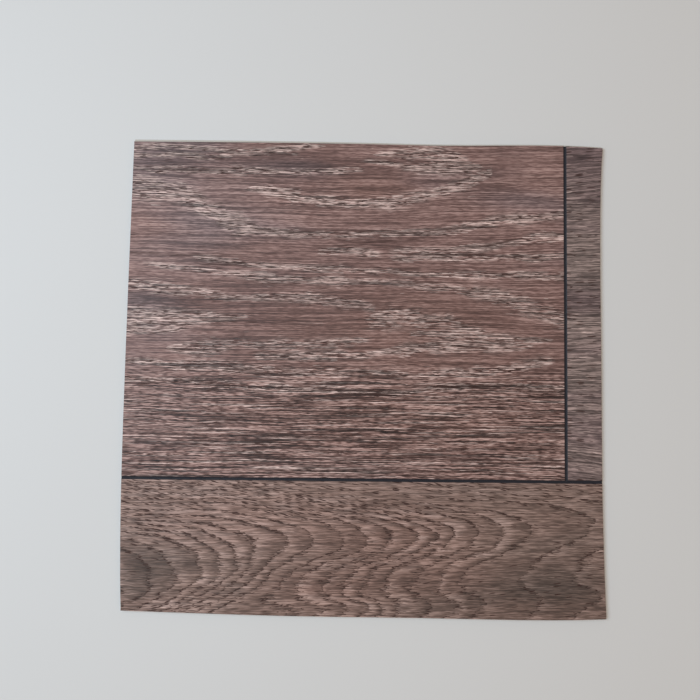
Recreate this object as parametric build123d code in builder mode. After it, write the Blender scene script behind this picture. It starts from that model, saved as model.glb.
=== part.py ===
from build123d import *

import os

# A loose square of wood-look sheet vinyl flooring, cut from the roll by hand. It is one bonded piece:
# a printed and embossed face on a pale foam back. It lies on its back, with the printed boards running
# along X and +Y away from the viewer. Two embossed joint lines divide the face into three printed
# boards: a long one runs along X right across the sheet, and a short one runs from it to the far edge.
# The four cut edges wander a little, as a knife guided by hand leaves them. Along the far edge the
# knife leant out, so the back reaches past the printed face there and its pale edge shows from above.
#
# The origin is the middle of the sheet's bounding box, on the side it lies on. Sizes are in millimetres.

# The printed face, measured over the furthest points of its edges
face_width = 201.6
face_depth = 199.2
thickness = 2.0

# The embossed joint lines
joint_width = 1.4
joint_depth = 0.3
long_joint_from_near_edge = 56.7
short_joint_from_right_edge = 16.2

# How far in from the furthest points the knife ran at each corner of the face, along X and along Y
near_left_inset = (1.0, 2.1)
near_right_inset = (0.0, 0.6)
far_right_inset = (0.25, 0.9)
far_left_inset = (1.8, 0.1)

# How far in it ran between the corners: pairs of a share of the edge's length, from the left or near
# corner on, and an inset
near_edge_wander = [(0.15, 1.4), (0.35, 0.6), (0.65, 0.3), (0.9, 0.0)]
far_edge_wander = [(0.2, 0.0), (0.5, 0.2), (0.7, 0.55), (0.87, 0.1)]
left_edge_wander = [(0.2, 0.0), (0.45, 0.15), (0.75, 0.95)]
right_edge_wander = [(0.07, 0.45), (0.25, 1.25), (0.5, 1.35), (0.8, 1.5), (0.9, 1.15)]

# How far the back reaches out past the face, because the knife leant
usual_lean = 0.15
far_edge_lean_at_left = 1.3
far_edge_lean_at_right = 0.7


def cut_sheet(lean, far_left_lean, far_right_lean):
    """Lines round the sheet: four splines through its corners and wander points, all moved out by the lean."""
    left = -face_width / 2 - lean
    right = face_width / 2 + lean
    near = -face_depth / 2 - lean
    far_at_left = face_depth / 2 + far_left_lean
    far_at_right = face_depth / 2 + far_right_lean

    near_left = (left + near_left_inset[0], near + near_left_inset[1])
    near_right = (right - near_right_inset[0], near + near_right_inset[1])
    far_right = (right - far_right_inset[0], far_at_right - far_right_inset[1])
    far_left = (left + far_left_inset[0], far_at_left - far_left_inset[1])

    def along_x(share):
        return left + (right - left) * share

    def along_y(share):
        return near + (far_at_right - near) * share

    def far(share):
        return far_at_left + (far_at_right - far_at_left) * share

    Spline(near_left, *[(along_x(share), near + inset) for share, inset in near_edge_wander], near_right)
    Spline(near_right, *[(right - inset, along_y(share)) for share, inset in right_edge_wander], far_right)
    Spline(far_left, *[(along_x(share), far(share) - inset) for share, inset in far_edge_wander], far_right)
    Spline(near_left, *[(left + inset, along_y(share)) for share, inset in left_edge_wander], far_left)


# The back is the sheet's widest level, so its middle is the middle of the whole sheet
with BuildSketch() as back:
    with BuildLine():
        cut_sheet(usual_lean, far_edge_lean_at_left, far_edge_lean_at_right)
    make_face()
middle = back.sketch.bounding_box().center()
back_plane = Plane(origin=(-middle.X, -middle.Y, 0))
face_plane = back_plane.offset(thickness)

long_joint_y = -face_depth / 2 + long_joint_from_near_edge
short_joint_x = face_width / 2 - short_joint_from_right_edge
past_the_edge = 5.0


# The planes that the joint lines start in, square to them
long_start = face_plane.from_local_coords((-face_width / 2 - past_the_edge, long_joint_y, 0))
long_joint_plane = Plane(origin=long_start, x_dir=(0, 1, 0), z_dir=(1, 0, 0))
long_joint_length = face_width + 2 * past_the_edge
short_start = face_plane.from_local_coords((short_joint_x, long_joint_y, 0))
short_joint_plane = Plane(origin=short_start, x_dir=(-1, 0, 0), z_dir=(0, 1, 0))
short_joint_length = face_depth / 2 - long_joint_y + past_the_edge

with BuildPart() as vinyl_sheet:
    # The body runs straight from the back's outline to the face's
    with BuildSketch(back_plane):
        with BuildLine():
            cut_sheet(usual_lean, far_edge_lean_at_left, far_edge_lean_at_right)
        make_face()
    with BuildSketch(face_plane):
        with BuildLine():
            cut_sheet(0, 0, 0)
        make_face()
    loft(ruled=True)

    # Both joint lines are shallow grooves with a round bottom. The long one crosses the whole face, and
    # the short one runs from it to the far edge.
    for plane, length in ((long_joint_plane, long_joint_length), (short_joint_plane, short_joint_length)):
        with BuildSketch(plane):
            with BuildLine():
                ThreePointArc((-joint_width / 2, 0), (0, -joint_depth), (joint_width / 2, 0))
                Line((joint_width / 2, 0), (-joint_width / 2, 0))
            make_face()
        extrude(amount=length, mode=Mode.SUBTRACT)

vinyl_sheet.part.label = "vinyl_sheet"

box = vinyl_sheet.part.bounding_box()
print("from", box.min, "to", box.max)
print("volume", round(vinyl_sheet.part.volume), "mm3, faces", len(vinyl_sheet.faces()))

os.makedirs("parts", exist_ok=True)
export_step(vinyl_sheet.part, "parts/vinyl_sheet.step")
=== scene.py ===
"""A loose square of wood-look sheet vinyl flooring on a pale floor, seen from above.

The sheet is one piece. Its face is a relief of fine grain and two sunken joint lines, which divide it
into three printed boards. The print is worked out from the lines of the wood's figure: for each board
the script draws where its growth rings and bands of limed pores run, keeps that with the mesh, and
the materials fill it in with grain, pores, lime and colour.
"""

import math
from types import SimpleNamespace

import bpy
import numpy as np
from bpy.props import FloatProperty, FloatVectorProperty, IntProperty
from mathutils import Matrix, Vector


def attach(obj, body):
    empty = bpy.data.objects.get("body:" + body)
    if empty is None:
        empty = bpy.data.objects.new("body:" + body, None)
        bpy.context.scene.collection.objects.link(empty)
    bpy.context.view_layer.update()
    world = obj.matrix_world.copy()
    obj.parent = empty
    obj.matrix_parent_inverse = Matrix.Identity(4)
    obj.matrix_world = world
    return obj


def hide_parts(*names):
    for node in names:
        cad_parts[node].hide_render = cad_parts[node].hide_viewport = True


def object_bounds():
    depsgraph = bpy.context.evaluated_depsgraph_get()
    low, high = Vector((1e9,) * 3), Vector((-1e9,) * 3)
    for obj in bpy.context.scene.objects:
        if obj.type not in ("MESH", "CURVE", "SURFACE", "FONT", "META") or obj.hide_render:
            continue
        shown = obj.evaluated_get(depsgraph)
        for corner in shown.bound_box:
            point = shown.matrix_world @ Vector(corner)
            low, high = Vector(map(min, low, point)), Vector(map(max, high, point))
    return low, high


bl_info = {
    "name": "Sheet Vinyl Flooring Sample",
    "version": (1, 0, 0),
    "blender": (4, 5, 0),
    "location": "View3D > Sidebar > Vinyl",
    "description": "Builds a square of printed and embossed sheet vinyl flooring and a plain stage for it",
    "category": "Object",
}

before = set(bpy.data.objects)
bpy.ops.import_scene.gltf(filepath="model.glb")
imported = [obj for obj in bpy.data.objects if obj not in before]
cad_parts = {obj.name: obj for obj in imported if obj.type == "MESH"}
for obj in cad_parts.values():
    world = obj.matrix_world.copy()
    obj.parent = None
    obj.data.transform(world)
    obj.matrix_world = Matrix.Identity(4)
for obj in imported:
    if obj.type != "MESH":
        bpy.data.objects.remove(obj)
CAD_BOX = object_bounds()
SHEET_NODE = "vinyl_sheet"
MM = 0.001


# Settings

def colour_setting(name, description, default):
    """A colour property, in linear light."""
    return FloatVectorProperty(name=name, description=description, subtype="COLOR", size=3, min=0, max=1,
                               default=default)


def length_setting(name, description, millimetres):
    """A length property, given here in millimetres and kept in metres."""
    return FloatProperty(name=name, description=description, subtype="DISTANCE", unit="LENGTH",
                         default=millimetres * MM)


class VinylSheetSettings(bpy.types.PropertyGroup):
    """Sizes of the sheet's relief and of the grid that carries it."""
    row_spacing: length_setting("Row spacing", "Distance of the grid's rows, across the grain", 0.37)
    column_spacing: length_setting("Column spacing", "Distance of the grid's columns, along the grain", 1.45)
    joint_width: length_setting("Joint width", "Width of the sunken joint lines", 1.4)
    joint_depth: length_setting("Joint depth", "Depth of the sunken joint lines", 0.3)
    grain_depth: length_setting("Grain depth", "Deepest furrow of the embossed grain", 0.07)
    film: length_setting("Film", "Thickness of the film where it shows on the cut edge", 0.3)
    far_rim: length_setting("Far rim", "How far the face stops short of the far edge's own line", 0.35)
    seed: IntProperty(name="Seed", description="Seed of the grain's chance variation", default=7, min=0)


class VinylPrintSettings(bpy.types.PropertyGroup):
    """Colours of the print, the joint lines and the foam back."""
    wood: colour_setting("Wood", "Ground colour of the printed wood", (0.190, 0.108, 0.096))
    # The greyed and warm colours also carry painted sheen, where the warmth places grey the wood or leave it
    # redder
    wood_grey_and_sheen: colour_setting("Greyed wood", "Ground colour where the wood has greyed", (0.168, 0.114, 0.114))
    wood_warm: colour_setting("Warm wood", "Ground colour where the wood is warmer", (0.192, 0.102, 0.083))
    near_wood: colour_setting("Near board", "Ground colour of the near board", (0.183, 0.118, 0.098))
    near_grey_and_sheen: colour_setting("Greyed near board", "Ground colour where the near board has greyed",
                              (0.140, 0.099, 0.084))
    near_warm: colour_setting("Warm near board", "Ground colour where the near board is redder",
                              (0.205, 0.122, 0.100))
    right_wood: colour_setting("Right board", "Ground colour of the right board", (0.174, 0.128, 0.117))
    lime: colour_setting("Lime", "White filling in the open pores", (0.470, 0.355, 0.325))
    pore: colour_setting("Pore", "Dark of the pores", (0.042, 0.018, 0.014))
    joint: colour_setting("Joint", "Ink of the joint lines", (0.016, 0.015, 0.020))
    foam: colour_setting("Foam", "Foam back and its cut edge", (0.560, 0.540, 0.500))


class VinylStageSettings(bpy.types.PropertyGroup):
    """The floor, the lamps and the camera."""
    floor_size: length_setting("Floor size", "Side of the floor", 6000)
    floor: colour_setting("Floor", "Colour of the floor", (0.640, 0.640, 0.640))
    key_power: FloatProperty(name="Key power", description="Power of the window light", default=3.0, min=0,
                             subtype="POWER", unit="POWER")
    fill_power: FloatProperty(name="Fill power", description="Power of the warm light", default=1.0, min=0,
                              subtype="POWER", unit="POWER")
    sky: FloatProperty(name="Sky", description="Strength of the even light from all round", default=0.52,
                       min=0)


def add_object(name, data):
    """An object with this data, added to the scene."""
    added = bpy.data.objects.new(name, data)
    bpy.context.scene.collection.objects.link(added)
    return added


# Numbers on grids

def soft_step(low, high, value):
    """0 below low, 1 above high, and a smooth s between."""
    t = np.clip((value - low) / (high - low), 0, 1)
    return t * t * (3 - 2 * t)


def chance(column, row, seed):
    """A fixed random number from 0 to 1 for each whole column and row: the fraction of a large sine."""
    wave = np.sin(column * 127.1 + row * 311.7 + seed * 74.7) * 43758.5453
    return wave - np.floor(wave)


def grain_noise(x, y, seed):
    """Smooth noise from -1 to 1: random numbers at whole places, joined by s-shaped steps both ways."""
    column, row = np.floor(x), np.floor(y)
    across, up = soft_step(0, 1, x - column), soft_step(0, 1, y - row)
    low = chance(column, row, seed) * (1 - across) + chance(column + 1, row, seed) * across
    high = chance(column, row + 1, seed) * (1 - across) + chance(column + 1, row + 1, seed) * across
    return (low * (1 - up) + high * up) * 2 - 1


def flowing_line(at, points, softness=5.0):
    """A line drawn through given points, rounded: straight runs averaged over a short stretch."""
    points = np.asarray(points, float)
    order = np.argsort(points[:, 0])
    steps = np.linspace(-1, 1, 9)
    weights = 1.2 - steps ** 2
    total = sum(w * np.interp(at + s * softness, points[order, 0], points[order, 1])
                for s, w in zip(steps, weights))
    return total / weights.sum()


# Where the main board's even rows of pores begin and are at their full strength, in millimetres from the
# sheet's middle across the boards, and how far apart the rows lie
ROWS_BEGIN, ROWS_FULL, ROW_GAP = 10, -8, 3.4

# The figure of the printed wood, in millimetres from the sheet's middle. A band of limed pores is a
# line of places: along the board, across it, and half the band's width there.
MAIN_BANDS = (
    ((-100, 96.5, .6), (-90, 96.5, 1.0), (-70, 96.3, .6), (-60, 95, .8), (-45, 95, 1.0), (-32, 96.5, 1.0),
     (-20, 98, .6)),
    ((-100, 93, .8), (-88, 93, .6), (-78, 93.3, 1.2), (-66, 93, 1.2), (-55, 93.8, .5), (-30, 94.5, .5)),
    ((-98, 88, .5), (-85, 86.5, 1.2), (-65, 86.5, .9), (-55, 86.8, 1.4), (-42, 86.3, 1), (-12, 86.5, .9),
     (-2, 87.2, .6)),
    ((-50, 79, .8), (-42, 78, 2.2), (-35, 76.5, 2.4), (-28, 75, 1.8), (-15, 73.5, 1.3), (0, 73, 1.5),
     (15, 73.5, 1.8), (25, 76.5, 1.6), (35, 79.5, 1.8), (44, 83, 2.6), (52, 86.5, 2.0)),
    ((0, 91, .5), (10, 90.5, 1.0), (22, 88.5, 1.6), (35, 89, 2.2), (48, 88, 1.6)),
    ((5, 94, .6), (20, 95, 2.0), (32, 94.5, 2.2), (42, 93, .8)),
    ((-100, 79, 3.2), (-88, 78, 2.8), (-75, 75.3, 2.2), (-68, 70.5, 3.2), (-60, 65.5, 3.4), (-50, 62.5, 2.8),
     (-42, 60, 1.8), (-30, 59.5, 1.2), (-15, 59.5, .9), (0, 59.8, 1.0), (15, 59.8, .9), (30, 61, 1.2),
     (45, 64, 1.6), (58, 66.5, 1.8), (70, 67.5, 1.8), (85, 69, 1.8)),
    ((-20, 52.3, 1.0), (-8, 52.8, 1.3), (5, 51.5, 1.0)),
    ((12, 52.8, .8), (25, 52, 1.2), (40, 53, 1.6), (50, 54.5, 1.0), (60, 57, 1.0), (72, 58.5, 1.4),
     (85, 59, 1.2)),
    ((12, 50, .9), (30, 49.5, 1.0), (45, 50.5, .8), (60, 50.5, 1.0), (75, 50.5, 1.2), (85, 51, .6)),
    ((-72, 49, .8), (-62, 48.5, 1.2), (-52, 47.2, .8), (-40, 46, .8), (-25, 45.3, 1.0), (-10, 45, 1.2),
     (5, 44, 1.0), (20, 43.5, .8), (38, 42.5, 1.0), (48, 43, 1.4), (60, 43, .8), (75, 42.8, 1.4),
     (85, 42.5, 1.2)),
    ((-92, 46.5, .6), (-80, 45, .9), (-65, 43.5, 1.0), (-55, 42, 1.2), (-40, 40.8, 1.6), (-25, 40, 1.2),
     (-8, 39.8, 1.2), (5, 39.3, .9), (20, 38.8, 1.1), (32, 38, 1.4), (42, 35.8, 1.6), (52, 34.5, 1.8),
     (60, 32.5, 2.4), (70, 29.5, 2.8), (78, 26.5, 2.2), (85, 23.5, 2.4)),
    ((-100, 38, 1.6), (-88, 36.5, 2.0), (-75, 35, 1.6), (-65, 33.5, 1.2), (-55, 32.5, .8), (-38, 33.5, 1.2),
     (-25, 32.5, 1.8), (-12, 31.5, 1.6), (-2, 30.5, 1.2), (3, 28, 1.6)),
    ((2, 23, 2.4), (12, 24.5, 3.6), (24, 24, 3.0), (35, 23.5, 2.2), (42, 21.5, 1.2)),
    ((20, 18, .8), (35, 17.5, 1.6), (45, 18, 2.2), (55, 15.5, 2.4), (64, 15, 1.2), (78, 15, .6)),
    ((-100, 24, 3.0), (-85, 23.5, 3.0), (-72, 24, 2.4), (-60, 23.5, 1.2), (-48, 25.5, .5)),
    ((-100, 18, 1.6), (-88, 18.5, 1.6), (-75, 19.5, .6)),
    ((-82, 11, 1.0), (-72, 11.5, 2.2), (-62, 11.5, 2.0), (-52, 13.5, 1.4), (-42, 12.5, 1.2), (-32, 12, 2.0),
     (-15, 12.8, 1.6), (0, 14.5, 1.0)),
    ((-45, 7.5, 1.0), (-30, 8, 1.4), (-15, 8.5, 1.4), (0, 8.5, 1.2), (12, 10.5, 1.4), (25, 12, 1.8),
     (40, 13, 2.0), (55, 12.5, 1.4), (70, 13, .8)),
    ((-100, 5, 1.0), (-85, 4.5, 1.2), (-70, 3, 1.6), (-55, 2.5, 2.0), (-42, 1.5, 1.8), (-25, 1.5, 1.0),
     (-10, 1.8, 1.4), (5, 1.5, 1.0), (20, .5, 1.0), (40, 1.5, 1.4), (55, 3, 1.6), (65, 5, 2.0), (78, 8, 1.4)),
    ((-100, -2, 1.0), (-60, -3.5, 1.2), (-50, -4.5, 1.2), (-30, -6, 1.0), (-15, -6.5, 1.0), (5, -7.5, 1.2),
     (20, -7.5, 1.0), (35, -4, 1.0), (60, -4, 1.0), (85, -5, 1.0)),
)

# Long dark lines, where an open pore shows no lime: points along and across the board
MAIN_SEAMS = (
    ((-92, 87), (-80, 86.2), (-68, 86.0)), ((-95, 78.4), (-80, 78.2), (-70, 76.6)),
    ((-72, 75.2), (-60, 72.5)), ((-62, 64.5), (-50, 65.0)), ((-45, 61.4), (-25, 60.4), (-8, 60.2)),
    ((-6, 61.3), (10, 61.0), (26, 60.4)), ((26, 61.6), (36, 62.0), (46, 63.6)),
    ((-14, 57.0), (8, 56.6), (22, 57.2)), ((-20, 54.2), (-8, 54.4)), ((10, 51.2), (30, 51.0), (50, 51.6)),
    ((50, 55.6), (58, 57.0), (66, 58.8)), ((-100, 50.7), (-80, 50.4), (-50, 50.1)),
    ((-70, 46.8), (-52, 46.0)), ((-46, 38.4), (-30, 38.6)), ((12, 45.6), (30, 44.8), (55, 44.6)),
    ((14, 39.8), (34, 39.4)), ((-70, 32.8), (-52, 32.2)), ((-16, 30.6), (-4, 30.2)),
    ((-12, 28.0), (-2, 27.8)), ((-66, 22.8), (-54, 22.6)), ((-82, 10.2), (-66, 10.4)),
    ((-45, 11.6), (-24, 12.0), (-4, 12.6)), ((-28, 10.2), (-4, 11.0), (8, 11.6)), ((-46, 10.0), (-34, 9.6)),
    ((14, 12.0), (40, 12.4), (58, 13.2)), ((-56, 2.0), (-40, 1.4)), ((-46, 0.2), (-24, 0.2)),
    ((-14, -9.8), (6, -10.2), (40, -9.6)), ((-60, -12.4), (-44, -12.0)), ((-28, -11.6), (-12, -11.0)),
    ((-90, -16.8), (-74, -16.4)), ((-52, -16.6), (-36, -17.8), (-14, -18.2)),
    ((22, -20.4), (38, -21.0), (52, -20.8)), ((40, -15.2), (60, -15.6), (82, -15.2)),
    ((-70, -20.2), (-50, -20.6)), ((26, -19.0), (38, -18.6)), ((-92, -25.4), (-70, -25.2)),
    ((-88, -30.0), (-66, -29.6)), ((-30, -26.4), (0, -26.0)), ((0, -28.6), (22, -28.0)),
    ((-30, -30.6), (-14, -30.2)), ((18, -33.2), (52, -33.8)), ((-20, -34.0), (4, -33.6)),
    ((-46, -39.4), (-28, -40.6)), ((-28, -38.2), (-4, -37.6)), ((10, -40.2), (34, -39.8)),
    ((-14, -41.6), (6, -41.4)), ((56, -24.0), (84, -24.4)),
)

# Broad lighter and darker places, partly the print's own tone and partly painted sheen and shade: lighter
# towards the left edge, darker along the far edge's left half. Each is along, across, half length, half
# width and how much lighter
MAIN_TONES_AND_SHEEN = (
    (-70, 91, 60, 5, -.26), (-30, 88, 24, 5, -.24), (10, 84, 30, 7, -.12), (-95, 65, 25, 9, .10),
    (-85, 31, 38, 3.2, -.30), (-25, 22, 36, 6, -.12), (50, 27, 22, 7, -.10), (10, 56, 50, 2.5, -.16),
    (25, -28, 60, 10, -.11), (2, -7, 24, 7, .12), (-45, 26, 26, 8, -.06), (-45, -18, 30, 2.5, -.20),
    (60, 38, 25, 3, .10), (-50, -6, 34, 30, -.07), (-92, -4, 18, 16, .10), (-103, 15, 6, 60, .16),
    (65, 86, 22, 10, .10), (30, 65, 50, 5, .08), (-10, 78, 130, 30, .06), (-85, 62, 45, 30, .09),
    (58, -8, 34, 14, -.05), (-40, -30, 30, 12, -.05), (-90, -32, 24, 10, -.10), (72, -30, 22, 14, -.06),
    (48, 84, 20, 8, -.06),
)

# The near board's rings open to the left and come to a point on an axis. Each profile gives how far a
# ring has fallen back from its point, by how far a place lies above the axis.
NEAR_AXIS = (
    (-100, -82), (-80, -78.5), (-62, -74.5), (-42, -69.5), (-20, -67.3), (20, -66.5), (60, -63.5),
    (100, -60),
)
RIGHT_PROFILE = (
    (-40, 33), (-37.5, 29), (-34.5, 25), (-31.5, 21), (-28.5, 20), (-26, 23), (-24, 27), (-20.5, 29),
    (-16.5, 27), (-13, 23), (-10.5, 16), (-8, 9), (-5.5, 4), (-2.5, 1), (0, 0), (2, 1), (4.5, 5), (7, 11),
    (9, 19), (10.7, 27), (12.5, 38), (14, 50), (20, 100), (32, 200),
)
LEFT_PROFILE = (
    (-24, 42), (-20, 27), (-17, 16), (-14, 8), (-11, 2), (-9, -1), (-7, 0), (-4, 0), (0, 0), (3, 3), (6, 7),
    (8, 11), (12, 18), (14.5, 26), (20, 48), (32, 110), (46, 190),
)
RING_POINTS = (
    -140, -122, -112, -102, -88, -78, -67, -59, -51, -43, -32, -21, -6, 3, 13, 22, 30, 38, 49, 60, 70.5, 96,
    118, 140, 170, 200, 230, 260, 290, 320,
)
# The near board's broad lighter and darker places, partly the print's own tone and partly painted shade and
# sheen: darker along the near edge, lighter at the left edge
NEAR_TONES_AND_SHEEN = (
    (-94, -79, 18, 6, -.34), (-90, -91, 24, 3, -.22), (88, -90, 26, 10, -.28), (45, -92, 40, 9, -.14),
    (-40, -48, 60, 6, .12), (-20, -84, 40, 8, -.12), (20, -72, 20, 6, -.06), (85, -62, 30, 10, -.08),
    (-103, -56, 8, 12, .25), (-50, -62, 26, 9, .06), (60, -84, 40, 9, -.12), (0, -87, 24, 9, -.08),
    (5, -66, 26, 18, -.12),
)
# Where the wood is warmer, or greyer below nought: partly the print's own colour and partly painted sheen,
# which greys the wood towards the sheet's edges and leaves it redder in its middle
MAIN_WARMTH_AND_SHEEN = (
    (-80, 78, 45, 35, -.8), (-98, 20, 26, 34, -.6), (0, -18, 80, 26, .6), (60, -25, 50, 26, .3),
    (20, 22, 60, 20, .5), (68, 84, 26, 16, -.45), (2, 79, 20, 7, .5),
)
# The near board's warmer and greyer places, likewise partly painted sheen
NEAR_WARMTH_AND_SHEEN = (
    (-52, -60, 36, 12, .7), (10, -66, 34, 12, .9), (30, -82, 26, 10, .6), (-15, -88, 26, 9, .9),
    (-85, -84, 26, 10, -.6), (80, -80, 30, 18, -.4),
)
RIGHT_TONES = (
    (93, 95, 14, 9, -.28), (93, 32, 14, 10, -.16), (93, 60, 14, 10, .08), (92, 22, 12, 2, .2),
    (93, 10, 14, 24, .08),
)


def broad_tone(x, y, places):
    """Sum of soft ovals: each is largest in its middle and fades as a bell curve."""
    return sum(amount * np.exp(-((x - px) / half_length) ** 2 - ((y - py) / half_width) ** 2)
               for px, py, half_length, half_width, amount in places)


def pore_bands(x, y, seed):
    """How strongly the open, limed pores crowd at each place of the main board, from 0 to 1.

    For each band, a bell curve across the distance from its line, fading past its ends. The even rows
    near the long joint are added as a wave across the board, broken up by noise."""
    strength = np.zeros_like(x)
    for band in MAIN_BANDS:
        band = np.array(band, float)
        line = flowing_line(x, band[:, :2], 3.0) + 0.7 * grain_noise(x / 9, band[0, 1], seed + 1)
        uneven = 1 + 0.35 * grain_noise(x / 6, band[1, 1], seed + 2)
        half = np.interp(x, band[:, 0], band[:, 2]) * uneven
        inside = soft_step(-3, 1, x - band[0, 0]) * soft_step(-3, 1, band[-1, 0] - x)
        strength = np.maximum(strength, np.exp(-((y - line) / (1.25 * half)) ** 2) * inside)
    strength = np.minimum(1.9 * strength, 1)
    sway = 1.6 * grain_noise(x / 45, y / 9, seed + 3)
    rows = soft_step(-0.3, 0.8, np.sin((y + sway) * 2 * np.pi / ROW_GAP))
    rows = rows * soft_step(-0.75, 0.4, grain_noise(x / 16, y / 2.2, seed + 4))
    return np.maximum(strength, (0.44 + 0.34 * rows) * soft_step(ROWS_BEGIN, ROWS_FULL, y))


def dark_seams(x, y, seed):
    """How dark the drawn seams are at each place of the main board, from 0 to 1.

    For each seam, a bell curve half a millimetre wide, wavering, and broken up by noise along the board."""
    strength = np.zeros_like(x)
    for seam in MAIN_SEAMS:
        seam = np.array(seam, float)
        line = (flowing_line(x, seam, 3.0) + 0.5 * grain_noise(x / 7, seam[0, 1], seed + 41)
                + 0.25 * grain_noise(x / 2.6, seam[0, 0], seed + 42))
        inside = soft_step(-4, 2, x - seam[0, 0]) * soft_step(-4, 2, seam[-1, 0] - x)
        strength = np.maximum(strength, np.exp(-((y - line) / 0.5) ** 2) * inside)
    return strength * soft_step(-0.9, 0.1, grain_noise(x / 5, y / 1.5, seed + 43))


def band_sway(x, y):
    """How far the main board's grain is carried across the board by the bands that run near a place.

    The mean, weighted by nearness, of how far each band has left its own middle height."""
    total, weight = np.zeros_like(x), np.full_like(x, 0.25)
    for band in MAIN_BANDS:
        band = np.array(band, float)
        line = flowing_line(x, band[:, :2], 6.0)
        inside = soft_step(-45, 5, x - band[0, 0]) * soft_step(-45, 5, band[-1, 0] - x)
        near = np.exp(-((y - line) / 6.0) ** 2) * inside
        total += near * (line - band[:, 1].mean())
        weight += near
    return total / weight


def near_rings(x, y):
    """The growth rings of the near board: number, spacing along the board, spacing square to the ring,
    and how far above their axis a place lies.

    A place's distance along the axis is its own, plus how far its ring has fallen back there. The ring's
    number is whole where a row of pores runs. The spacing square to it is one over the number's slope."""
    above = y - flowing_line(x, NEAR_AXIS, 12.0)
    to_the_left = soft_step(-20, -62, x)
    fallen_back = (flowing_line(above, RIGHT_PROFILE, 1.5) * (1 - to_the_left)
                   + flowing_line(above, LEFT_PROFILE, 1.5) * to_the_left)
    along = x + fallen_back
    gap = np.interp(along, RING_POINTS, np.gradient(np.array(RING_POINTS, float)))
    slope = np.gradient(along, axis=0) / np.gradient(y, axis=0)
    swayed = along + 2.2 * grain_noise(x / 14, y / 6, 31) + 1.0 * grain_noise(x / 5, y / 2.5, 32)
    return np.interp(swayed, RING_POINTS, np.arange(len(RING_POINTS))), gap, gap / np.hypot(1, slope), above


# The sheet's mesh

# Numbers of the material slots, in the order in which the operator adds the materials
MAIN_SLOT, NEAR_SLOT, RIGHT_SLOT, EDGE_SLOT, BACK_SLOT = range(5)


def solid_points():
    """The corner points of the CAD model's mesh, one a row, in metres."""
    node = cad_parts[SHEET_NODE].data
    points = np.zeros(len(node.vertices) * 3)
    node.vertices.foreach_get("co", points)
    return points.reshape(-1, 3)


class CutOutline:
    """One outline of the sheet, read from the CAD model: the four edges between its corners."""

    def __init__(self, level):
        """level is the height of the outline, in metres. Its points are those near the box's sides."""
        points = solid_points()
        low, high = points.min(0), points.max(0)
        near_side = np.minimum(points - low, high - points)[:, :2].min(1) < 4 * MM
        points = points[near_side & (np.abs(points[:, 2] - level) < 0.01 * MM)]
        points = np.unique(points[:, :2].round(7), axis=0)
        points = points[np.argsort(np.arctan2(points[:, 1], points[:, 0]))]
        corners = [int(np.argmax(points @ direction)) for direction in ((-1, -1), (1, -1), (1, 1), (-1, 1))]
        edges = [np.take(points, np.arange(a, b + 1 if b > a else b + 1 + len(points)), axis=0, mode="wrap")
                 for a, b in zip(corners, corners[1:] + corners[:1])]
        self.near, self.right, self.far, self.left = edges[0], edges[1], edges[2][::-1], edges[3][::-1]

    def place(self, x, y, reach, half_width, half_depth):
        """Moves grid points so that the grid's border runs along the cut edges.

        The pull is the edge's own distance from the straight side, and fades to nothing over reach."""
        left = np.interp(y, self.left[:, 1], self.left[:, 0]) + half_width
        right = np.interp(y, self.right[:, 1], self.right[:, 0]) - half_width
        near = np.interp(x, self.near[:, 0], self.near[:, 1]) + half_depth
        far = np.interp(x, self.far[:, 0], self.far[:, 1]) - half_depth
        moved_x = (x + left * np.clip(1 - (x + half_width) / reach, 0, 1)
                   + right * np.clip(1 - (half_width - x) / reach, 0, 1))
        moved_y = (y + near * np.clip(1 - (y + half_depth) / reach, 0, 1)
                   + far * np.clip(1 - (half_depth - y) / reach, 0, 1))
        return moved_x, moved_y


def joint_places():
    """Where the CAD model's joint lines run: the long one's Y and the short one's X, in metres.

    The grooves' bottoms are the model's only points between its face and its back."""
    points = solid_points()
    height = points[:, 2].max()
    low = points[(points[:, 2] > 0.6 * height) & (points[:, 2] < 0.98 * height)]
    deepest = low[low[:, 2] < low[:, 2].min() + 0.01 * MM]
    long_y = float(deepest[np.argmin(deepest[:, 0]), 1])
    short_x = float(deepest[np.argmax(deepest[:, 1]), 0])
    return long_y, short_x


def spaced(low, high, spacing, middle, half_width):
    """Even places from low to high, with closer ones over the groove at middle and at both ends."""
    even = np.linspace(low, high, int(round((high - low) / spacing)) + 1)
    groove = middle + half_width * np.array([-1.25, -1.0, -0.85, -0.6, -0.3, 0, 0.3, 0.6, 0.85, 1.0, 1.25])
    rim = 0.12 * MM
    keep = even[np.abs(even - middle) > 1.25 * half_width + 0.25 * spacing]
    return np.sort(np.concatenate([keep, groove, [low + rim, high - rim]]))


def groove_depth(distance, half_width):
    """Share of a groove's depth at a distance from its line: a shallow round bottom."""
    return np.clip(1 - (distance / half_width) ** 2, 0, 1)


def grain_relief(x, y, pores, seed):
    """Share of the grain's depth: furrows along the board, deepest where the pores crowd.

    Two layers of noise drawn out along the board, of which only the low places cut into the face."""
    coarse = grain_noise(x / 11, y / 1.15, seed + 11)
    fine = grain_noise(x / 5, y / 0.8, seed + 12)
    furrow = soft_step(0.0, 0.9, 0.65 * coarse + 0.45 * fine)
    return furrow * (0.3 + 0.7 * pores)


def add_attribute(mesh, name, values):
    """Keeps one number or three numbers for each of the mesh's points, for the materials to read."""
    kind, field = ("FLOAT_VECTOR", "vector") if values.shape[1] == 3 else ("FLOAT", "value")
    attribute = mesh.attributes.new(name, kind, "POINT")
    attribute.data.foreach_set(field, np.ascontiguousarray(values, np.float32).ravel())


def grid_quads(rows, columns, first=0):
    """Corner numbers of a grid's faces, anticlockwise from above."""
    corner = first + np.arange(rows * columns).reshape(rows, columns)
    return np.stack([corner[:-1, :-1], corner[:-1, 1:], corner[1:, 1:], corner[1:, :-1]], -1).reshape(-1, 4)


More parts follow.
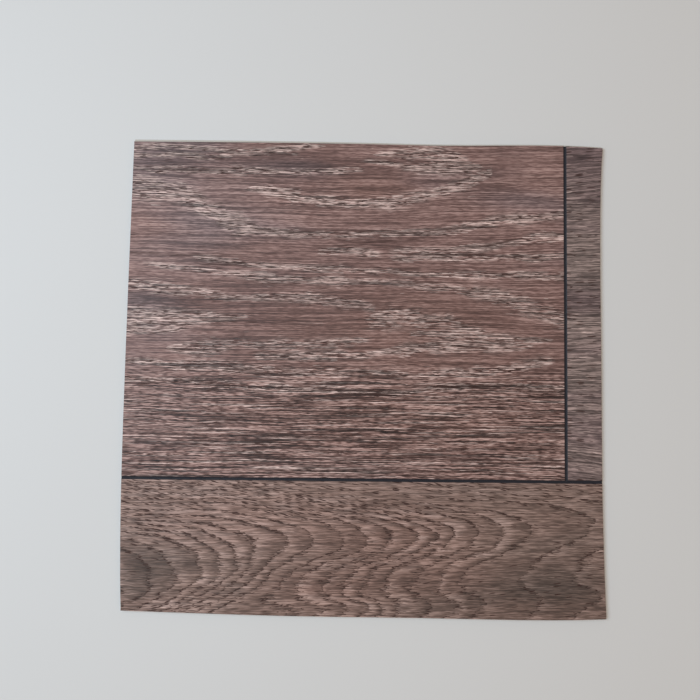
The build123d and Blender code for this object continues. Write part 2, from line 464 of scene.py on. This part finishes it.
def border_numbers(rows, columns):
    """Point numbers of a grid's border, anticlockwise from its first corner."""
    return np.concatenate([np.arange(columns), columns * np.arange(1, rows) + columns - 1,
                           columns * (rows - 1) + np.arange(columns - 2, -1, -1),
                           columns * np.arange(rows - 2, 0, -1)])


# Heights of the cut edges' rings of points, as shares of the face's height: the first is the face's border
WALL_LEVELS = np.array([1.0, 0.86, 0.45, 0.0])

# The print map across: where the face ends, where the cut edges' strips begin, how far apart and how wide
# they are, and where the back begins
FACE_END, STRIPS_BEGIN, STRIP_STEP, STRIP_WIDTH, BACK_BEGINS = 0.84, 0.845, 0.02, 0.015, 0.93


def add_print_map(mesh, places, faces, ring_numbers, size):
    """The sheet's own UV map: the face over most of it, then a strip for each cut edge, then the back.

    A wall corner's place is its edge's strip, how far down the cut it is, and its share of the edge."""
    rows, columns = size
    low, high = places.min(0), places.max(0)
    flat = (places - low) / (high - low)
    face_uv = flat[faces] * (FACE_END, 1.0)

    count = ring_numbers.shape[1]
    lengths = np.array([columns, rows, columns, rows]) - 1
    starts = np.concatenate([[0], np.cumsum(lengths)[:-1]])
    quad = np.tile(np.arange(count), len(ring_numbers) - 1)
    ring = np.repeat(np.arange(len(ring_numbers) - 1), count)
    side = np.searchsorted(starts, quad, side="right") - 1
    share = (quad - starts[side])[:, None] + np.array([0, 0, 1, 1])
    depth = 1 - WALL_LEVELS[ring[:, None] + np.array([0, 1, 1, 0])]
    strip = STRIPS_BEGIN + STRIP_STEP * side[:, None] + STRIP_WIDTH * depth
    wall_uv = np.stack([strip, share / lengths[side][:, None]], -1)

    back_uv = flat[ring_numbers[-1][::-1]] * (1 - BACK_BEGINS, 1.0) + (BACK_BEGINS, 0)
    layer = mesh.uv_layers.new(name="OFBake")
    uv = np.concatenate([face_uv.reshape(-1, 2), wall_uv.reshape(-1, 2), back_uv])
    layer.data.foreach_set("uv", uv.astype(np.float32).ravel())


def printed_figure(x, y, on_near, on_right, seed):
    """What the materials read at each place, which is given in millimetres.

    grain is a place as the grain sees it: along the board, across it with the grain's waves straightened
    out, and above the near board's axis. The other values are the functions' above, board by board."""
    ring, gap, apart, above = near_rings(x, y)
    # The tone and warmth places are partly painted sheen and shade
    tone_and_sheen = np.where(on_near, broad_tone(x, y, NEAR_TONES_AND_SHEEN), broad_tone(x, y, MAIN_TONES_AND_SHEEN))
    tone_and_sheen = np.where(on_right, broad_tone(x, y, RIGHT_TONES), tone_and_sheen)
    warmth_and_sheen = np.where(on_near, broad_tone(x, y, NEAR_WARMTH_AND_SHEEN), broad_tone(x, y, MAIN_WARMTH_AND_SHEEN))
    warmth_and_sheen = np.where(on_right, 0, warmth_and_sheen)
    wave = 0.9 * grain_noise(x / 60, y / 14, seed + 21) + 0.35 * grain_noise(x / 18, y / 5, seed + 22)
    wave = wave - np.where(on_near | on_right, 0, 0.14 * band_sway(x, y))
    wave = wave + np.where(on_right, (x - 92) * 0.12 * grain_noise(0.0, y / 17, seed + 23), 0)
    return {"grain": np.stack([x, y + wave, above], -1), "pores": pore_bands(x, y, seed),
            "seams": dark_seams(x, y, seed), "tone_and_sheen": tone_and_sheen, "warmth_and_sheen": warmth_and_sheen,
            "rings": np.stack([ring, gap, apart], -1)}


def build_sheet(settings):
    """The closed surface of the sheet: its face, its four cut edges and its back.

    The face is a grid over the sheet. Its height is the sheet's thickness less the joint lines'
    grooves and the grain's furrows. The cut edges are carried down from the grid's border to the
    back's outline in a few steps, and the back is one flat face."""
    top = CAD_BOX[1][2]
    face, back = CutOutline(top), CutOutline(0.0)
    half_width = max(abs(CAD_BOX[0][0]), abs(CAD_BOX[1][0]))
    half_depth = max(abs(CAD_BOX[0][1]), abs(CAD_BOX[1][1]))
    long_y, short_x = joint_places()
    half_joint = settings.joint_width / 2
    face.far[:, 1] -= settings.far_rim
    across = spaced(-half_depth, half_depth, settings.row_spacing, long_y, half_joint)
    along = spaced(-half_width, half_width, settings.column_spacing, short_x, half_joint)
    rows, columns = len(across), len(along)
    flat_x, flat_y = np.meshgrid(along, across)
    reach = 8 * MM
    x, y = face.place(flat_x, flat_y, reach, half_width, half_depth)
    under_x, under_y = back.place(flat_x, flat_y, reach, half_width, half_depth)

    on_near = y < long_y
    on_right = ~on_near & (x > short_x)
    figure = printed_figure(x / MM, y / MM, on_near, on_right, settings.seed)

    # Relief
    groove = np.maximum(groove_depth(np.abs(y - long_y), half_joint),
                        np.where(on_near, 0, groove_depth(np.abs(x - short_x), half_joint)))
    relief = grain_relief(x / MM, figure["grain"][..., 1], np.where(on_near | on_right, 0.3, figure["pores"]),
                          settings.seed)
    z = top - settings.joint_depth * groove - settings.grain_depth * relief * (1 - groove)

    # The cut edges: rings of points from just under the face down to the back
    border = border_numbers(rows, columns)
    count = len(border)
    levels = WALL_LEVELS[1:, None, None]
    upper = np.stack([x.ravel()[border], y.ravel()[border]], 1)
    lower = np.stack([under_x.ravel()[border], under_y.ravel()[border]], 1)
    sides = upper * levels + lower * (1 - levels)
    side_z = z.ravel()[border][:, None] * levels
    rings = np.concatenate([sides, side_z], 2).reshape(-1, 3)
    points = np.concatenate([np.stack([x, y, z], 2).reshape(-1, 3), rings])

    faces = grid_quads(rows, columns)
    below = rows * columns + np.arange(len(levels) * count).reshape(-1, count)
    ring_numbers = np.concatenate([border[None], below])
    following = np.roll(ring_numbers, -1, axis=1)
    walls = np.stack([ring_numbers[:-1], ring_numbers[1:], following[1:], following[:-1]], -1).reshape(-1, 4)
    mesh = bpy.data.meshes.new("sheet_vinyl")
    mesh.from_pydata(points, [], [*faces.tolist(), *walls.tolist(), ring_numbers[-1][::-1].tolist()])

    middle = points[faces].mean(1)
    slots = np.where(middle[:, 0] > short_x, RIGHT_SLOT, MAIN_SLOT)
    slots = np.where(middle[:, 1] < long_y, NEAR_SLOT, slots)
    slots = np.concatenate([slots, np.full(len(walls), EDGE_SLOT), [BACK_SLOT]])
    mesh.polygons.foreach_set("material_index", slots.astype(np.int32))
    smooth = np.concatenate([np.ones(len(faces), bool), np.zeros(len(walls) + 1, bool)])
    mesh.polygons.foreach_set("use_smooth", smooth)

    for name, values in figure.items():
        values = values.reshape(rows * columns, -1)
        add_attribute(mesh, name, np.concatenate([values, np.tile(values[border], (len(levels), 1))]))
    add_print_map(mesh, points[:, :2], faces, ring_numbers, (rows, columns))
    mesh.update()
    mesh.validate()
    return add_object("vinyl_sheet_print", mesh)


# Materials

class Wire:
    """The output of a node. Arithmetic on it adds Math nodes to its tree."""

    def __init__(self, tree, socket):
        self.tree, self.socket = tree, socket

    def __add__(self, other):
        return self.tree.math("ADD", self, other)

    def __sub__(self, other):
        return self.tree.math("SUBTRACT", self, other)

    def __rsub__(self, other):
        return self.tree.math("SUBTRACT", other, self)

    def __mul__(self, other):
        return self.tree.math("MULTIPLY", self, other)

    def __truediv__(self, other):
        return self.tree.math("DIVIDE", self, other)

    __radd__, __rmul__ = __add__, __mul__


class Tree:
    """The nodes of a material or a world, added one call at a time."""

    def __init__(self, owner):
        owner.use_nodes = True
        self.owner, self.nodes, self.links = owner, owner.node_tree.nodes, owner.node_tree.links
        self.nodes.clear()

    def node(self, kind, settings, sockets, output=0):
        """Adds a node: its settings first, then its sockets' values or links by name or number."""
        node = self.nodes.new(kind)
        for name, value in settings.items():
            setattr(node, name, value)
        for name, value in sockets.items():
            if isinstance(value, Wire):
                self.links.new(value.socket, node.inputs[name])
            else:
                node.inputs[name].default_value = value
        return Wire(self, node.outputs[output]) if node.outputs else None

    def math(self, operation, first, second=0.0):
        return self.node("ShaderNodeMath", {"operation": operation}, {0: first, 1: second})

    def step(self, value, low, high):
        """0 at low, 1 at high and a smooth s between. Low may lie above high."""
        sockets = {"Value": value, "From Min": low, "From Max": high}
        return self.node("ShaderNodeMapRange", {"interpolation_type": "SMOOTHSTEP"}, sockets)

    def mix(self, factor, first, second):
        """A colour between two."""
        return self.node("ShaderNodeMix", {"data_type": "RGBA"}, {0: factor, 6: first, 7: second}, 2)

    def tint(self, colour, factor):
        """A colour or a place times a number."""
        return self.node("ShaderNodeVectorMath", {"operation": "SCALE"}, {0: colour, "Scale": factor})

    def attribute(self, name, output="Fac"):
        return self.node("ShaderNodeAttribute", {"attribute_name": name}, {}, output)

    def place(self):
        """Where a point of the sheet lies, in millimetres."""
        return self.tint(self.node("ShaderNodeTexCoord", {}, {}, "Object"), 1 / MM)

    def stretched(self, vector, along, across, offset):
        """A place counted in steps of a length along and across the board, moved on by an offset.

        It climbs by 3 for each 4 along the board, so that noise has no upright lines of its own there."""
        step = self.part(vector, "X") * (1 / along)
        row = self.part(vector, "Y") * (1 / across)
        sockets = {"X": 0.8 * step + offset * 1.37, "Y": row + offset * 1.7, "Z": 0.6 * step + offset * 0.43}
        return self.node("ShaderNodeCombineXYZ", {}, sockets)

    def part(self, vector, axis):
        return self.node("ShaderNodeSeparateXYZ", {}, {0: vector}, axis)

    def moved(self, vector, across):
        """A place moved across the board."""
        sockets = {"X": self.part(vector, "X"), "Y": self.part(vector, "Y") + across}
        return self.node("ShaderNodeCombineXYZ", {}, sockets)

    def sheared(self, vector, slope):
        """A place whose lines along the board fall by slope to the right."""
        return self.moved(vector, slope * self.part(vector, "X"))

    def streaks(self, vector, along, across, offset):
        """Noise from 0 to 1, drawn out along the board."""
        place = self.stretched(vector, along, across, offset)
        sockets = {"Vector": place, "Scale": 1.0, "Detail": 1.0, "Roughness": 0.5}
        return self.node("ShaderNodeTexNoise", {"noise_dimensions": "3D", "normalize": True}, sockets, "Fac")

    def cells(self, vector, scale, output, randomness=1.0):
        """Scattered points: how far the nearest one is, or its own chance colour."""
        settings = {"voronoi_dimensions": "2D", "feature": "F1"}
        sockets = {"Vector": vector, "Scale": scale, "Randomness": randomness}
        return self.node("ShaderNodeTexVoronoi", settings, sockets, output)

    def dashes(self, vector, along, across, offset, share):
        """1 in the middle of short dashes and 0 outside. A dash is the neighbourhood of a scattered point,
        of which a share is kept. The point's red picks whether it is, and its green how big it is."""
        place = self.stretched(vector, along, across, offset)
        near, chance_colour = (self.cells(place, 1.0, output, 0.9) for output in ("Distance", "Color"))
        pick, size = (self.node("ShaderNodeSeparateColor", {}, {"Color": chance_colour}, output)
                      for output in ("Red", "Green"))
        kept = self.step(pick - share, 0.06, -0.06)
        return self.step(near, 0.30 + 0.22 * size, 0.20 + 0.14 * size) * kept

    def clouds(self, vector, scale, detail):
        """Even noise from 0 to 1, finer with a larger scale."""
        sockets = {"Vector": vector, "Scale": scale, "Detail": detail}
        return self.node("ShaderNodeTexNoise", {}, sockets, "Fac")

    def finish(self, colour, roughness, height, depth, specular):
        """Joins the surface: colour, roughness and a bump, which is depth metres deep where height is 1."""
        bump = self.node("ShaderNodeBump", {}, {"Strength": 1.0, "Distance": depth, "Height": height})
        sockets = {"Base Color": colour, "Roughness": roughness, "Normal": bump,
                   "Specular IOR Level": specular}
        surface = self.node("ShaderNodeBsdfPrincipled", {}, sockets)
        self.node("ShaderNodeOutputMaterial", {}, {"Surface": surface})
        return self.owner


def rgb(colour):
    """A setting's colour with the alpha that a socket needs."""
    return (*colour, 1.0)


def joint_ink(tree, long_y, short_x, with_short):
    """1 on the joint lines, with slightly uneven edges. The short line is left out on the near board."""
    place = tree.place()
    ragged = 0.22 * (tree.streaks(place, 2.5, 2.5, 3.1) - 0.5)

    def line(distance):
        return tree.step(tree.math("ABSOLUTE", distance) + ragged, 0.85, 0.5)

    long_line = line(tree.part(place, "Y") - long_y)
    if not with_short:
        return long_line
    return tree.math("MAXIMUM", long_line, line(tree.part(place, "X") - short_x))


# Lengths of the print's noises along and across the board, in millimetres
WAVER_SIZE, BROAD_SIZE, FILM_SIZE = (4.5, 1.6), (70, 16), (14, 2.2)
COARSE_SIZE, MIDDLE_SIZE, SPECK_SIZE = (50, 1.2), (32, 0.52), (3.2, 0.36)
TOOTH_SIZE, TOOTH_SWAY_SIZE, HALO_SIZE = (3.0, 0.42), (6.5, 1.1), (16, 6)

# How soft the edges of flecks and furrows are, and how much the dashes slope above and below the axis
FLECK_EDGE, DASH_FALL, DASH_RISE = 0.05, 0.18, -0.15


def growth_rings(tree, grain, above, look):
    """What the near board's growth rings add: light, crowds of pores and of lime, and rows of dashes.

    Noise moves each ring to and fro along the board, like teeth. A ring is bright past its pore row and
    darker before it, by a chance strength of its own."""
    offset = look.offset
    rings = tree.attribute("rings", "Vector")
    ring, gap, apart = (tree.part(rings, axis) for axis in "XYZ")
    lower = tree.step(above, 1.0, -6.0)
    steep = tree.step(apart / gap, 0.05, 0.3)
    teeth = tree.streaks(grain, *TOOTH_SIZE, offset + 7)
    teeth = teeth + 0.5 * tree.streaks(grain, *TOOTH_SWAY_SIZE, offset + 8)
    number = ring + (look.teeth + 4.5 * lower) * (teeth - 0.75) / gap
    past = tree.math("FRACT", number)
    settings, sockets = {"noise_dimensions": "1D"}, {"W": number - past}
    bold = 0.35 + 1.1 * tree.node("ShaderNodeTexWhiteNoise", settings, sockets, "Value")
    after, before = past * apart, (1 - past) * apart
    halo = bold * (0.5 + tree.streaks(grain, *HALO_SIZE, offset + 10)) * tree.step(after, 6.0, 0.1)
    growth = look.bright * halo - look.dim * bold * tree.step(before, 4.5, 0.1)
    crowd = tree.step(before, 1.5, 0.6) * (0.3 + 0.7 * steep)
    share = look.ticks + 0.10 * (1 - steep) + look.tick_pull * crowd
    falling, rising = (tree.dashes(tree.sheared(grain, slope), *look.tick_size, offset + 9, share)
                       for slope in (DASH_FALL, DASH_RISE))
    return growth * (0.35 + 0.65 * steep), crowd, 0.6 * halo, falling * (1 - lower) + rising * lower


def lime_and_pores(tree, grain, low, crowd, lime_crowd, look):
    """Lime in the high places of long streaks and dark pores in the low places of finer ones."""
    lime, dark = 0.0, 0.0
    for layer, (along, across, split, where) in enumerate(look.flecks):
        lime_here = {"all": 1.0, "high": 1 - 0.35 * low, "low": 1.1 * low}[where]
        open_here = {"all": 1.0, "high": 1 + 0.15 * low, "low": 1.15 * low}[where]
        start = look.offset + 3 * layer
        drift = tree.streaks(grain, 1.6 * along, 2.2 * across, start + 6)
        rows = tree.math("SINE", (tree.part(grain, "Y") / across + 2.0 * drift) * (2 * math.pi))
        field = tree.streaks(grain, along, across, start + 5) + look.rows * rows
        fleck = tree.step(field - look.lime_edge + look.lime_pull * lime_here * lime_crowd, 0.0, FLECK_EDGE)
        thin = tree.streaks(grain, 0.8 * along, split, start + 20)
        furrow = tree.step(look.pore_edge + look.pore_pull * open_here * crowd - thin, 0.0, FLECK_EDGE)
        lime = tree.math("MAXIMUM", lime, fleck)
        dark = tree.math("MAXIMUM", dark, furrow * look.dark)
    return lime, dark


def board_material(name, colours, prints, joints, look):
    """A printed board: ground of three colours, limed and dark pores, streaks and the joint lines' ink."""
    tree = Tree(bpy.data.materials.new(name))
    ground, grey, warm = (rgb(colour) for colour in colours)
    smooth_grain = tree.attribute("grain", "Vector")
    tone_and_sheen, warmth_and_sheen = tree.attribute("tone_and_sheen"), tree.attribute("warmth_and_sheen")
    offset = look.offset
    waver = tree.streaks(smooth_grain, *WAVER_SIZE, offset + 15) - 0.5
    grain = tree.moved(smooth_grain, look.waver * waver)
    low = tree.step(tree.part(smooth_grain, "Y"), ROWS_BEGIN, ROWS_FULL)

    if look.rings:
        growth, crowd, lime_crowd, ticks = growth_rings(tree, grain, tree.part(smooth_grain, "Z"), look)
    else:
        growth = 0.0
        crowd = lime_crowd = tree.attribute("pores")
        ticks = tree.dashes(grain, *look.tick_size, offset + 9, look.ticks + look.tick_pull * crowd)
    lime, dark = lime_and_pores(tree, grain, low, crowd, lime_crowd, look)
    dark = tree.math("MAXIMUM", dark, ticks * look.tick_dark)
    if look.seams:
        dark = tree.math("MAXIMUM", dark, tree.attribute("seams") * look.seams)

    # Ground colour, greyed in broad patches, with the lime on it. The greying and the warm colour follow the
    # warmth and tone places, so they are partly painted sheen: greyer towards the sheet's edges, redder in
    # its middle
    broad = tree.streaks(grain, *BROAD_SIZE, offset + 1)
    greyed_and_sheen = tree.step(broad - tone_and_sheen * 0.3 - warmth_and_sheen * 0.35 + look.grey, 0.35, 0.75)
    colour = tree.mix(greyed_and_sheen, ground, grey)
    colour = tree.mix(tree.math("MINIMUM", tree.math("MAXIMUM", warmth_and_sheen, 0.0), 1.0), colour, warm)
    film = look.film * (1 - 0.65 * low) * lime_crowd
    film = film * tree.step(tree.streaks(grain, *FILM_SIZE, offset + 12), 0.4, 0.62)
    colour = tree.mix(tree.math("MAXIMUM", lime * look.lime, film), colour, rgb(prints.lime))

    # Four layers of streaks, which darken and lighten it, with lime rubbed into the lightest
    layers = ((COARSE_SIZE, 2, 0.2), (MIDDLE_SIZE, 3, 0.1), (look.fine_size, 4, 0.1), (SPECK_SIZE, 4.5, 0.2))
    coarse, middle, fine, specks = (
        tree.step(tree.streaks(grain, *size, offset + start), 0.5 - half, 0.5 + half) - 0.5
        for size, start, half in layers)
    middle_weight = look.plain + look.band * crowd
    fine_weight = look.fine + look.fine_band * crowd + look.fine_low * low
    speck_weight = look.specks * (0.6 + 0.6 * crowd + look.fine_low * low)
    level = (1 + look.coarse * coarse) * (1 + middle_weight * middle) * (1 + fine_weight * fine)
    # The broad tone places lighten and darken it too, partly as painted sheen and shade
    level = level * (1 + speck_weight * specks) * (1 + tone_and_sheen) * (1 + growth)
    pale = tree.math("MINIMUM", tree.math("MAXIMUM", look.pale * (level - 1), 0.0), 0.6)
    colour = tree.mix(pale, tree.tint(colour, level), rgb(prints.lime))
    colour = tree.mix(dark, colour, rgb(prints.pore))
    ink = joint_ink(tree, joints[0] / MM, joints[1] / MM, not look.rings)
    colour = tree.mix(ink, colour, rgb(prints.joint))

    height = fine * 0.35 + middle * 0.35 - dark * 0.6
    roughness = 0.48 + 0.10 * fine + 0.08 * dark - 0.04 * lime
    return tree.finish(colour, roughness, height, 0.06 * MM, 0.18)


# The boards' looks. plain is the weight of the middle streaks, and band, fine_band and fine_low are what
# pore bands and the low rows add. A layer of flecks has its length, width, pores' width and where it is
# strong. An edge says how rare lime or how common open pores are, and a pull how far bands change that.
PLAIN_LOOK = dict(grey=-0.15, band=0.0, fine_band=0.0, fine_low=0.0, pale=0.3, rows=0.0, film=0.0,
                  lime_pull=0.0, pore_pull=0.0, tick_pull=0.0, seams=0.0, rings=False)
MAIN_LOOK = SimpleNamespace(**PLAIN_LOOK | dict(
    offset=0.0, waver=0.45, coarse=0.1, plain=0.25, band=0.25, fine=0.65, fine_band=0.45, fine_low=0.55,
    specks=0.9, pale=0.4, fine_size=(32, 0.40), rows=0.14, lime=0.85, film=0.36, lime_edge=0.88,
    flecks=((8, 0.95, 0.42, "high"), (5, 0.72, 0.34, "high"), (48, 1.15, 0.38, "low"),
            (30, 0.8, 0.31, "low")),
    lime_pull=0.31, pore_edge=0.19, pore_pull=0.20, ticks=0.02, tick_pull=0.05, tick_size=(6.0, 0.6),
    dark=0.95, tick_dark=0.8, seams=0.7))
NEAR_LOOK = SimpleNamespace(**PLAIN_LOOK | dict(
    offset=40.0, waver=0.4, coarse=0.12, plain=0.25, fine=0.6, fine_band=0.3, specks=0.5,
    fine_size=(7, 0.40), flecks=((7, 0.8, 0.6, "all"), (5, 0.6, 0.45, "all")), lime=0.3, film=0.72,
    lime_edge=0.76, lime_pull=0.08, pore_edge=0.20, pore_pull=0.12, ticks=0.06, tick_pull=0.95,
    tick_size=(3.6, 0.5), dark=0.9, tick_dark=1.0, rings=True, teeth=4.8, bright=0.38, dim=0.23))
RIGHT_LOOK = SimpleNamespace(**PLAIN_LOOK | dict(
    offset=80.0, grey=0.0, waver=0.6, coarse=0.1, plain=0.42, fine=0.8, specks=0.7, fine_size=(12, 0.45),
    rows=0.05, flecks=((7, 1.0, 0.7, "all"), (5, 0.7, 0.5, "all")), lime=0.6, lime_edge=0.71,
    pore_edge=0.29, ticks=0.1, tick_size=(4.0, 0.7), dark=0.85, tick_dark=0.9))


def cut_edge_material(prints, film, top):
    """The knife's cut: pale foam with fine cells and drag marks, and the dark edge of the film above it."""
    tree = Tree(bpy.data.materials.new("cut_edge"))
    place = tree.place()
    cells, drag = tree.clouds(place, 4.0, 2.0), tree.clouds(place, 0.5, 3.0)
    foam = tree.tint(prints.foam, 0.86 + 0.16 * cells + 0.12 * drag)
    above_foam = tree.part(place, "Z") + 0.1 * (cells - 0.5) - (top - film) / MM
    film_share = tree.step(above_foam, -0.04, 0.04)
    colour = tree.mix(film_share, foam, rgb([c * 0.8 for c in prints.wood]))
    return tree.finish(colour, 0.75 - 0.2 * film_share, cells, 0.05 * MM, 0.3)


def back_material(prints):
    """The foam back: pale, with a fine open cell texture and faint rolling marks."""
    tree = Tree(bpy.data.materials.new("foam_back"))
    place = tree.place()
    cells, clouds = tree.cells(place, 1.1, "Distance"), tree.clouds(place, 0.04, 3.0)
    rolling = tree.streaks(place, 60, 3.0, 9.0)
    colour = tree.tint(prints.foam, 0.82 + 0.14 * clouds + 0.10 * rolling + 0.10 * cells)
    return tree.finish(colour, 0.8 + 0.1 * cells, cells, 0.15 * MM, 0.3)


# The stage

def build_floor(settings):
    """A flat square floor."""
    half = settings.floor_size / 2
    mesh = bpy.data.meshes.new("floor")
    corners = [(-half, -half, 0), (half, -half, 0), (half, half, 0), (-half, half, 0)]
    mesh.from_pydata(corners, [], [(0, 1, 2, 3)])
    tree = Tree(bpy.data.materials.new("plain_floor"))
    clouds = tree.clouds(tree.node("ShaderNodeTexCoord", {}, {}, "Object"), 6.0, 2.0)
    colour = tree.tint(settings.floor, 0.985 + 0.03 * clouds)
    mesh.materials.append(tree.finish(colour, 0.85, clouds, 0.02 * MM, 0.2))
    add_object("floor", mesh)


def build_lamp(name, place, size, power, colour):
    """A soft square lamp turned towards the sheet's middle."""
    lamp = bpy.data.lights.new(name, "AREA")
    lamp.shape, lamp.size, lamp.energy, lamp.color = "SQUARE", size, power, colour
    turn = (-Vector(place)).to_track_quat("-Z", "Y")
    add_object(name, lamp).matrix_world = Matrix.Translation(place) @ turn.to_matrix().to_4x4()


# Colours of the sky's light and of the sky where the camera or a reflection sees it
SKY_LIGHT, SKY_SEEN = (1.0, 0.85, 0.72), (0.60, 0.60, 0.59)


def build_sky(strength):
    """Even warm light from all round, which looks pale itself."""
    world = bpy.data.worlds.new("sky")
    tree = Tree(world)
    warm = tree.node("ShaderNodeBackground", {}, {"Color": rgb(SKY_LIGHT), "Strength": strength})
    pale = tree.node("ShaderNodeBackground", {}, {"Color": rgb(SKY_SEEN), "Strength": 1.0})
    seen, glossy, transmitted = (tree.node("ShaderNodeLightPath", {}, {}, f"Is {kind} Ray")
                                 for kind in ("Camera", "Glossy", "Transmission"))
    looked_at = tree.math("MAXIMUM", tree.math("MAXIMUM", seen, glossy), transmitted)
    mixed = tree.node("ShaderNodeMixShader", {}, {0: looked_at, 1: warm, 2: pale})
    tree.node("ShaderNodeOutputWorld", {}, {"Surface": mixed})
    bpy.context.scene.world = world


# The camera stands almost over the sheet's middle and leans a little towards its far edge
CAMERA_PLACE = (-6.02 * MM, -4.10 * MM, 303.35 * MM)
CAMERA_TURN, CAMERA_TILT, CAMERA_ROLL = math.radians(0.344), math.radians(2.813), math.radians(0.245)
FOCAL_PIXELS, PICTURE_PIXELS = 718, 700


def build_camera():
    """The camera, with its focal length as a share of the picture's width."""
    lens = bpy.data.cameras.new("camera")
    lens.lens = lens.sensor_width * FOCAL_PIXELS / PICTURE_PIXELS
    lens.clip_start = 0.01
    camera = add_object("camera", lens)
    camera.matrix_world = (Matrix.Translation(CAMERA_PLACE) @ Matrix.Rotation(CAMERA_TURN, 4, "Z")
                           @ Matrix.Rotation(CAMERA_TILT, 4, "X") @ Matrix.Rotation(CAMERA_ROLL, 4, "Z"))
    bpy.context.scene.camera = camera


# Operators

class VINYL_OT_make_sheet(bpy.types.Operator):
    """Build the printed and embossed sheet in place of its plain solid"""
    bl_idname = "vinyl.make_sheet"
    bl_label = "Make Sheet"

    def execute(self, context):
        settings, prints = context.scene.vinyl_sheet, context.scene.vinyl_print
        sheet = build_sheet(settings)
        joints = joint_places()
        boards = (
            ("main_board", (prints.wood, prints.wood_grey_and_sheen, prints.wood_warm), MAIN_LOOK),
            ("near_board", (prints.near_wood, prints.near_grey_and_sheen, prints.near_warm), NEAR_LOOK),
            ("right_board", (prints.right_wood, prints.wood_grey_and_sheen, prints.wood_warm), RIGHT_LOOK),
        )
        for name, colours, look in boards:
            sheet.data.materials.append(board_material(name, colours, prints, joints, look))
        sheet.data.materials.append(cut_edge_material(prints, settings.film, CAD_BOX[1][2]))
        sheet.data.materials.append(back_material(prints))
        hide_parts(SHEET_NODE)
        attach(sheet, "root")
        return {"FINISHED"}


class VINYL_OT_make_stage(bpy.types.Operator):
    """Build the floor, the lamps and the camera"""
    bl_idname = "vinyl.make_stage"
    bl_label = "Make Stage"

    def execute(self, context):
        settings = context.scene.vinyl_stage
        build_floor(settings)
        build_lamp("window_light", place=(-0.34, 0.06, 0.55), size=0.4, power=settings.key_power,
                   colour=(0.69, 0.86, 1.0))
        build_lamp("warm_light", place=(0.8, -0.3, 0.9), size=0.8, power=settings.fill_power,
                   colour=(1.0, 0.80, 0.62))
        build_sky(settings.sky)
        build_camera()
        context.scene.view_settings.view_transform = "Standard"
        return {"FINISHED"}


class VINYL_PT_sample(bpy.types.Panel):
    """Settings and operators of the flooring sample"""
    bl_label = "Vinyl Sample"
    bl_space_type = "VIEW_3D"
    bl_region_type = "UI"
    bl_category = "Vinyl"

    def draw(self, context):
        groups = ((context.scene.vinyl_sheet, VINYL_OT_make_sheet), (context.scene.vinyl_print, None),
                  (context.scene.vinyl_stage, VINYL_OT_make_stage))
        for settings, operator in groups:
            box = self.layout.box()
            for name in settings.__annotations__:
                box.prop(settings, name)
            if operator:
                box.operator(operator.bl_idname)


CLASSES = (VinylSheetSettings, VinylPrintSettings, VinylStageSettings, VINYL_OT_make_sheet,
           VINYL_OT_make_stage, VINYL_PT_sample)


def register():
    for cls in CLASSES:
        bpy.utils.register_class(cls)
    bpy.types.Scene.vinyl_sheet = bpy.props.PointerProperty(type=VinylSheetSettings)
    bpy.types.Scene.vinyl_print = bpy.props.PointerProperty(type=VinylPrintSettings)
    bpy.types.Scene.vinyl_stage = bpy.props.PointerProperty(type=VinylStageSettings)


def unregister():
    del bpy.types.Scene.vinyl_sheet, bpy.types.Scene.vinyl_print, bpy.types.Scene.vinyl_stage
    for cls in reversed(CLASSES):
        bpy.utils.unregister_class(cls)


def main():
    register()
    bpy.ops.vinyl.make_sheet()
    bpy.ops.vinyl.make_stage()


if __name__ == "__main__":
    main()
